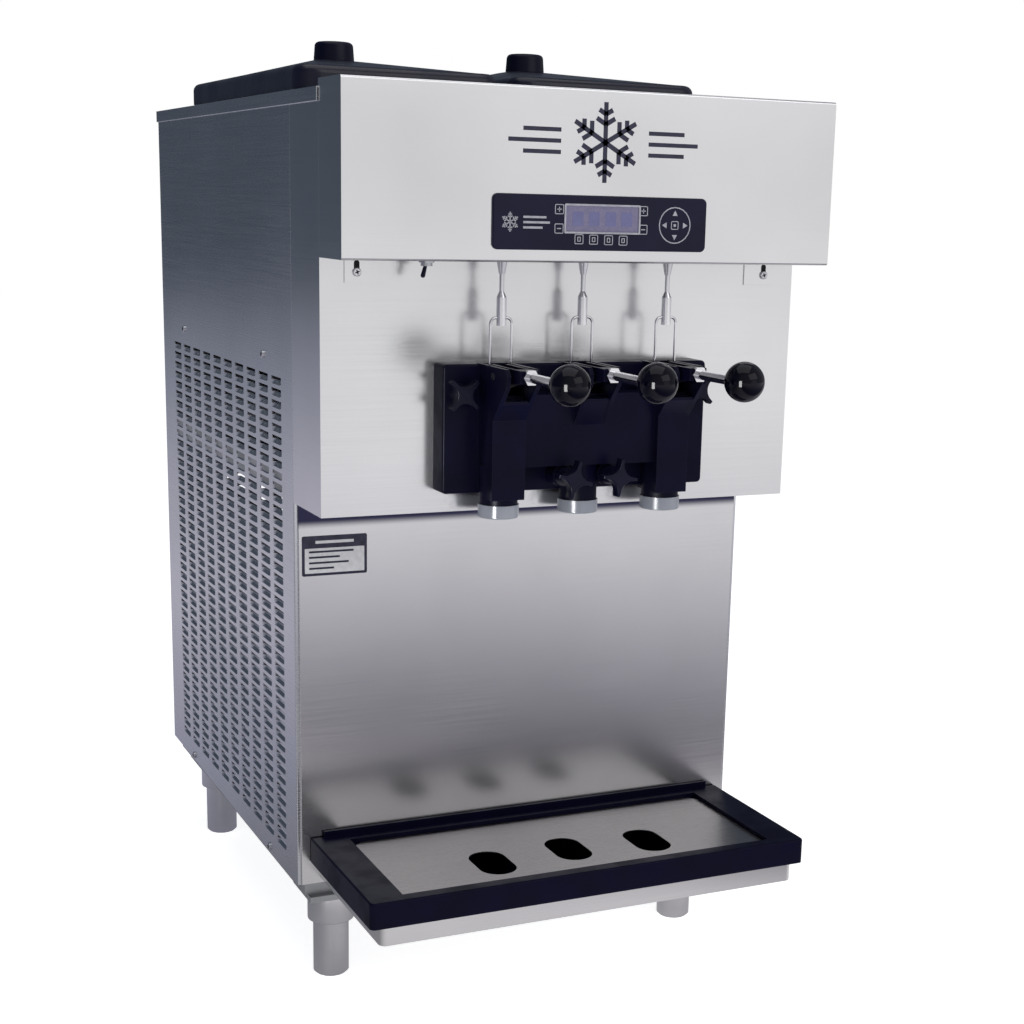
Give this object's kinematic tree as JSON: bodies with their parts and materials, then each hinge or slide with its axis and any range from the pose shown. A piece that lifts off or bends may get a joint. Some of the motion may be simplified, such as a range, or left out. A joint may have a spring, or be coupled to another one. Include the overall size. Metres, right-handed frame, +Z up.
{
  "type": "soft serve machine",
  "caption": "Counter-top soft serve machine with louvred steel cabinet, overhanging header, black dispensing head with draw handles, hopper lids and drip tray.",
  "frame": {"origin": "middle of the footprint on the surface the machine stands on, under the centre of the overall box", "axes": "+Z up, front with the handles faces -Y, +X to the right when facing the machine"},
  "size_m": [0.565, 0.963, 1.072],
  "materials": {
    "stainless": "brushed stainless sheet",
    "side_sheet": "brushed stainless sheet with louvres",
    "polished": "polished stainless tube and rod",
    "black_moulded": "satin black moulding",
    "black_gloss": "glossy black ball grip",
    "nozzle_grey": "translucent blue-grey moulding",
    "display": "display window",
    "frame_steel": "welded zinc-coated frame",
    "barrel_steel": "brushed barrel",
    "white_plastic": "food-grade white moulding",
    "motor_paint": "dark motor enamel",
    "coil_aluminium": "finned coil",
    "board_green": "circuit board",
    "screw_steel": "zinc-plated screw"
  },
  "bodies": {
    "cabinet": {"base_frame": "frame_steel", "left_side_panel": "side_sheet", "right_side_panel": "side_sheet", "rear_panel": "side_sheet", "top_deck": "stainless", "front_lower_panel": "stainless", "head_panel": "stainless", "header_cover": "stainless", "cabinet_screws": "screw_steel", "power_inlet": "black_moulded", "left_hopper": "stainless", "right_hopper": "stainless", "feed_tubes": "white_plastic", "freezing_cylinders": "barrel_steel", "gearmotors": "motor_paint", "compressor": "motor_paint", "condenser": "coil_aluminium", "fan_motor": "motor_paint", "control_bezel": "black_moulded", "display_window": "display", "control_board": "board_green", "toggle_bushing": "screw_steel", "dispensing_head": "black_moulded", "link_guides": "polished", "nozzle_caps": "nozzle_grey", "pivot_pins": "polished", "tray_shelf": "stainless"},
    "front_left_leg": {"front_left_leg": "polished"},
    "front_right_leg": {"front_right_leg": "polished"},
    "rear_left_leg": {"rear_left_leg": "polished"},
    "rear_right_leg": {"rear_right_leg": "polished"},
    "left_lid": {"left_lid": "black_moulded", "left_lid_knob": "black_moulded"},
    "right_lid": {"right_lid": "black_moulded", "right_lid_knob": "black_moulded"},
    "left_dasher": {"left_dasher": "white_plastic"},
    "right_dasher": {"right_dasher": "white_plastic"},
    "fan": {"fan_blade": "coil_aluminium"},
    "toggle": {"toggle_lever": "black_moulded"},
    "drip_tray": {"drip_tray": "black_moulded"},
    "tray_cover": {"tray_cover": "stainless"},
    "upper_left_star": {"upper_left_star_knob": "black_moulded"},
    "upper_right_star": {"upper_right_star_knob": "black_moulded"},
    "lower_left_star": {"lower_left_star_knob": "black_moulded"},
    "lower_right_star": {"lower_right_star_knob": "black_moulded"},
    "left_handle": {"left_handle_fork": "black_moulded", "left_handle_rod": "polished", "left_ball_knob": "black_gloss"},
    "left_valve": {"left_valve_spool": "polished", "left_draw_link": "polished"},
    "middle_handle": {"middle_handle_fork": "black_moulded", "middle_handle_rod": "polished", "middle_ball_knob": "black_gloss"},
    "middle_valve": {"middle_valve_spool": "polished", "middle_draw_link": "polished"},
    "right_handle": {"right_handle_fork": "black_moulded", "right_handle_rod": "polished", "right_ball_knob": "black_gloss"},
    "right_valve": {"right_valve_spool": "polished", "right_draw_link": "polished"}
  },
  "joints": [
    {"name": "front_left_leg_screw", "type": "slide", "parent": "cabinet", "child": "front_left_leg", "axis": [0, 0, -1], "range_m": [0, 0.022]},
    {"name": "front_right_leg_screw", "type": "slide", "parent": "cabinet", "child": "front_right_leg", "axis": [0, 0, -1], "range_m": [0, 0.022]},
    {"name": "rear_left_leg_screw", "type": "slide", "parent": "cabinet", "child": "rear_left_leg", "axis": [0, 0, -1], "range_m": [0, 0.022]},
    {"name": "rear_right_leg_screw", "type": "slide", "parent": "cabinet", "child": "rear_right_leg", "axis": [0, 0, -1], "range_m": [0, 0.022]},
    {"name": "left_lid_lift", "type": "slide", "parent": "cabinet", "child": "left_lid", "axis": [0, 0, 1], "range_m": [0, 0.12]},
    {"name": "right_lid_lift", "type": "slide", "parent": "cabinet", "child": "right_lid", "axis": [0, 0, 1], "range_m": [0, 0.12]},
    {"name": "left_dasher_spin", "type": "hinge", "parent": "cabinet", "child": "left_dasher", "pos_m": [-0.097, 0, 0.662], "axis": [0, 1, 0], "continuous": true},
    {"name": "right_dasher_spin", "type": "hinge", "parent": "cabinet", "child": "right_dasher", "pos_m": [0.097, 0, 0.662], "axis": [0, 1, 0], "continuous": true},
    {"name": "fan_spin", "type": "hinge", "parent": "cabinet", "child": "fan", "pos_m": [-0.203, 0.16, 0.335], "axis": [1, 0, 0], "continuous": true},
    {"name": "toggle_throw", "type": "hinge", "parent": "cabinet", "child": "toggle", "pos_m": [-0.178, -0.285, 0.836], "axis": [0, 1, 0], "range_deg": [-30, 0]},
    {"name": "upper_left_star_turn", "type": "hinge", "parent": "cabinet", "child": "upper_left_star", "pos_m": [-0.139, -0.3, 0.7], "axis": [0, 1, 0], "continuous": true},
    {"name": "upper_right_star_turn", "type": "hinge", "parent": "cabinet", "child": "upper_right_star", "pos_m": [0.139, -0.3, 0.7], "axis": [0, 1, 0], "continuous": true},
    {"name": "lower_left_star_turn", "type": "hinge", "parent": "cabinet", "child": "lower_left_star", "pos_m": [-0.0264, -0.3, 0.612], "axis": [0, 1, 0], "continuous": true},
    {"name": "lower_right_star_turn", "type": "hinge", "parent": "cabinet", "child": "lower_right_star", "pos_m": [0.0264, -0.3, 0.612], "axis": [0, 1, 0], "continuous": true},
    {"name": "left_handle_pull", "type": "hinge", "parent": "cabinet", "child": "left_handle", "pos_m": [-0.097, -0.314, 0.72057], "axis": [1, 0, 0], "range_deg": [0, 35]},
    {"name": "left_valve_lift", "type": "slide", "parent": "cabinet", "child": "left_valve", "axis": [0, 0, 1], "range_m": [0, 0.0152]},
    {"name": "middle_handle_pull", "type": "hinge", "parent": "cabinet", "child": "middle_handle", "pos_m": [0, -0.306, 0.72057], "axis": [1, 0, 0], "range_deg": [0, 35]},
    {"name": "middle_valve_lift", "type": "slide", "parent": "cabinet", "child": "middle_valve", "axis": [0, 0, 1], "range_m": [0, 0.0152]},
    {"name": "right_handle_pull", "type": "hinge", "parent": "cabinet", "child": "right_handle", "pos_m": [0.097, -0.314, 0.72057], "axis": [1, 0, 0], "range_deg": [0, 35]},
    {"name": "right_valve_lift", "type": "slide", "parent": "cabinet", "child": "right_valve", "axis": [0, 0, 1], "range_m": [0, 0.0152]},
    {"name": "drip_tray_lift", "type": "slide", "parent": "cabinet", "child": "drip_tray", "axis": [0, 0, 1], "range_m": [0, 0.06]},
    {"name": "tray_cover_lift", "type": "slide", "parent": "drip_tray", "child": "tray_cover", "axis": [0, 0, 1], "range_m": [0, 0.08]}
  ],
  "couplings": [
    {"joint": "left_valve_lift", "follows": "left_handle_pull", "m_per_rad": 0.024775},
    {"joint": "middle_valve_lift", "follows": "middle_handle_pull", "m_per_rad": 0.024775},
    {"joint": "right_valve_lift", "follows": "right_handle_pull", "m_per_rad": 0.024775}
  ]
}
